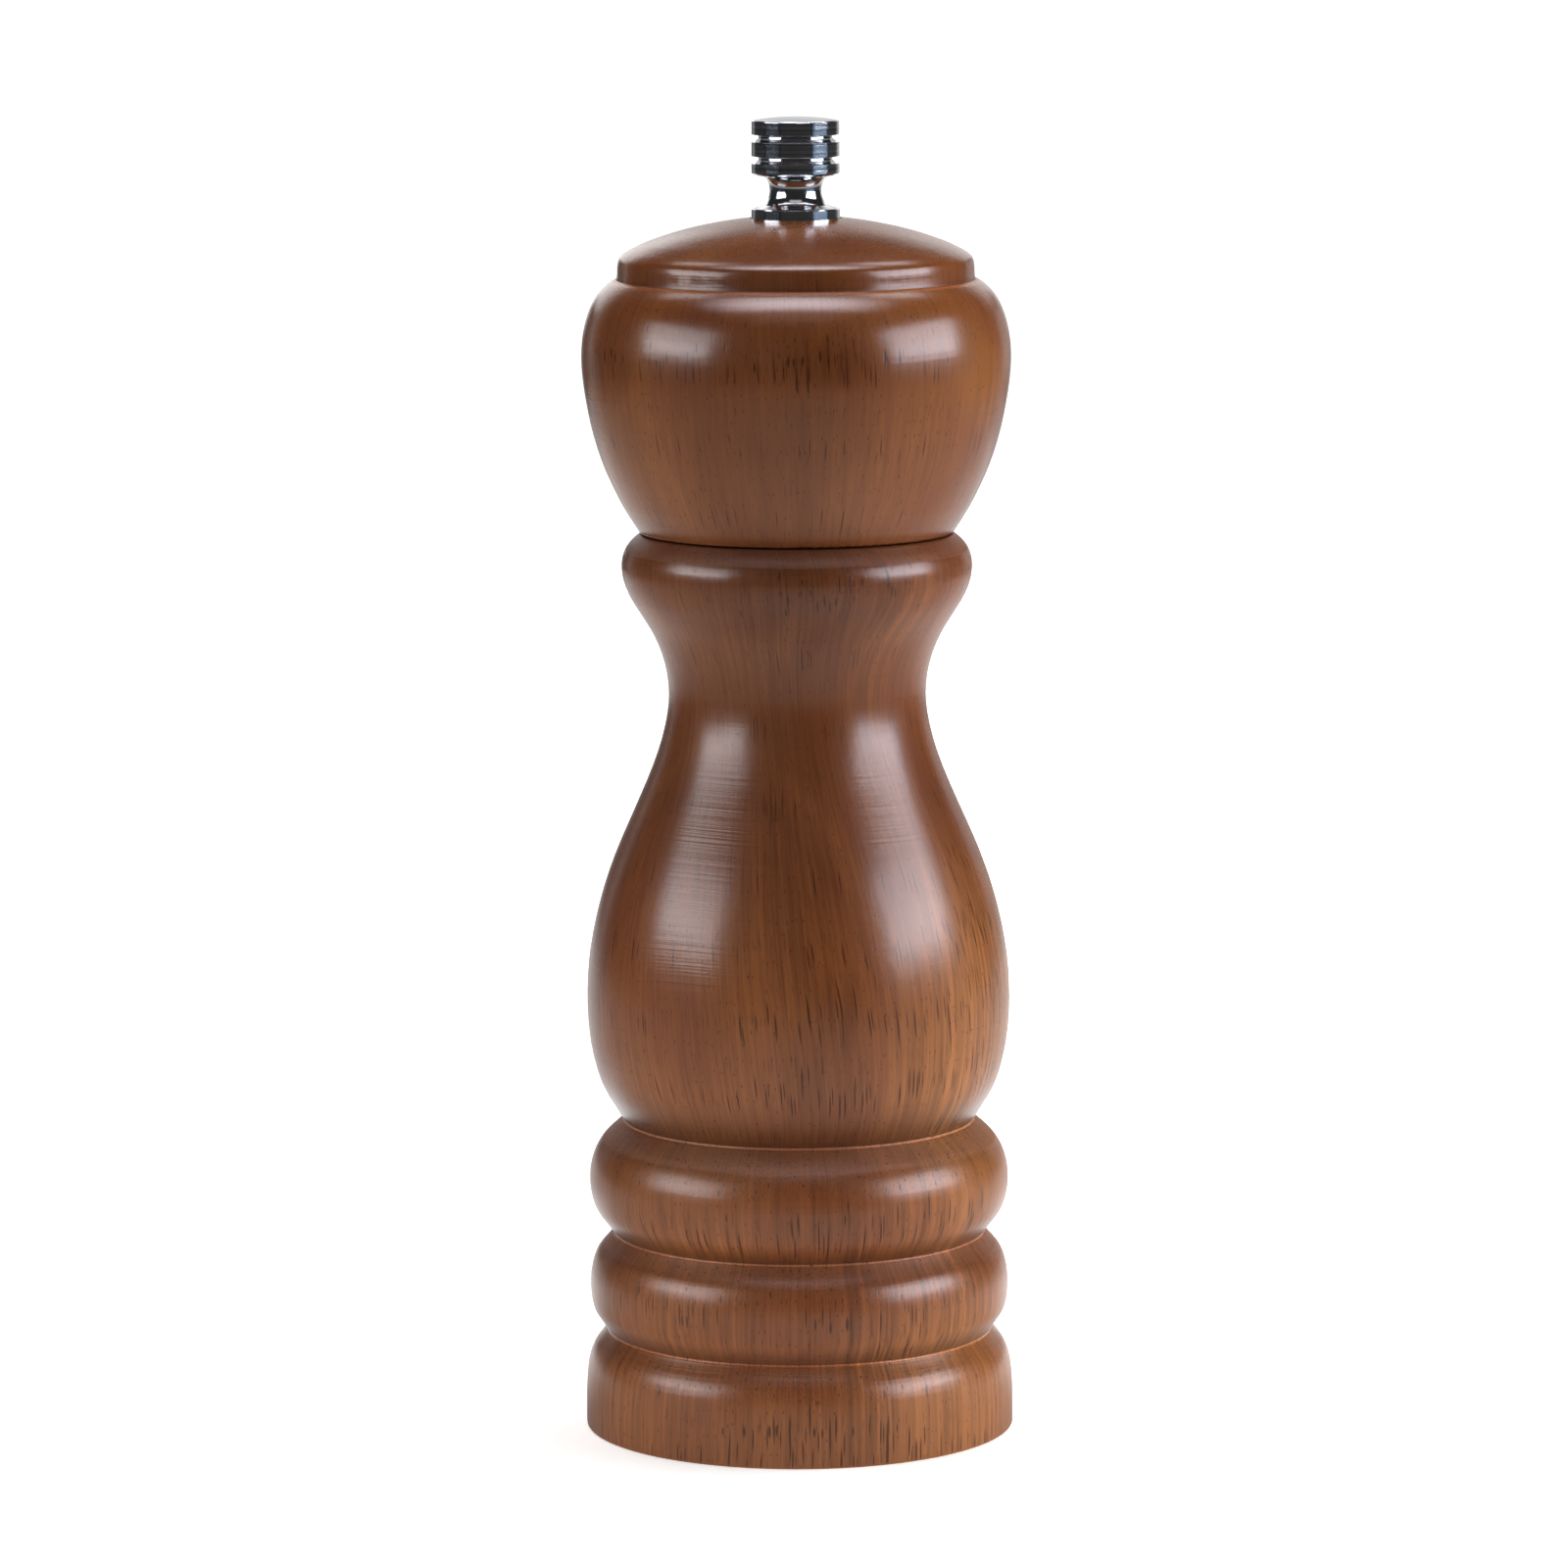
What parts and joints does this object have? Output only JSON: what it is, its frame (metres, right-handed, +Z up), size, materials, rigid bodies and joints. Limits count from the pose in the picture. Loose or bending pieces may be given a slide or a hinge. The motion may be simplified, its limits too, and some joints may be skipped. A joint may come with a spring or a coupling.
{
  "type": "pepper mill",
  "caption": "Upright turned wooden pepper mill with a keyed rotating head, a polished adjusting knob and a steel cone burr on a square shaft inside a fixed ring burr.",
  "frame": {"origin": "centre of the base ring's underside, on the plane the mill stands on", "axes": "+Z up along the turning axis, from the foot to the knob; X runs along the retaining bar under the mill; Y runs through the two keys of the ring burr"},
  "size_m": [0.054, 0.054, 0.1655],
  "materials": {
    "walnut_body": "walnut-stained turned hardwood under satin lacquer, grain upright",
    "walnut_head": "walnut-stained turned hardwood under satin lacquer, grain upright",
    "zinc_casing": "die-cast zinc, as cast, dull grey",
    "nylon": "natural nylon",
    "burr_steel": "case-hardened carbon steel, machined teeth",
    "plated_steel": "nickel-plated pressed steel",
    "screw_steel": "zinc-plated steel",
    "spring_steel": "drawn spring steel wire",
    "shaft_steel": "bright drawn square steel bar",
    "knob_chrome": "polished stainless steel, mirror finish"
  },
  "bodies": {
    "mill_body": {"wood_body": "walnut_body", "burr_casing": "zinc_casing", "bearing_spider": "zinc_casing", "thrust_washer": "nylon", "ring_burr": "burr_steel", "retaining_bar": "plated_steel", "pilot_bush": "nylon", "retaining_bar_screws": "screw_steel"},
    "spindle": {"upper_spring_seat": "plated_steel", "grinder_spring": "spring_steel"},
    "shaft": {"drive_shaft": "shaft_steel", "cone_burr": "burr_steel", "cone_nut": "screw_steel", "cone_washer": "plated_steel", "lower_spring_washer": "plated_steel"},
    "head": {"wood_head": "walnut_head", "drive_plate": "plated_steel", "drive_plate_screws": "screw_steel", "head_ferrule": "plated_steel"},
    "knob": {"adjusting_knob": "knob_chrome"}
  },
  "joints": [
    {"name": "head_turn", "type": "hinge", "parent": "mill_body", "child": "spindle", "pos_m": [0, 0, 0.1], "axis": [0, 0, 1], "continuous": true},
    {"name": "shaft_lift", "type": "slide", "parent": "spindle", "child": "shaft", "axis": [0, 0, 1], "range_m": [0, 0.00175], "deforming": ["grinder_spring"]},
    {"name": "head_lift", "type": "slide", "parent": "spindle", "child": "head", "axis": [0, 0, 1], "range_m": [0, 0.07]},
    {"name": "knob_turn", "type": "hinge", "parent": "head", "child": "knob", "pos_m": [0, 0, 0.158], "axis": [0, 0, -1], "range_deg": [0, 900]}
  ],
  "couplings": [
    {"joint": "knob_turn", "follows": "shaft_lift", "rad_per_m": 8976}
  ]
}
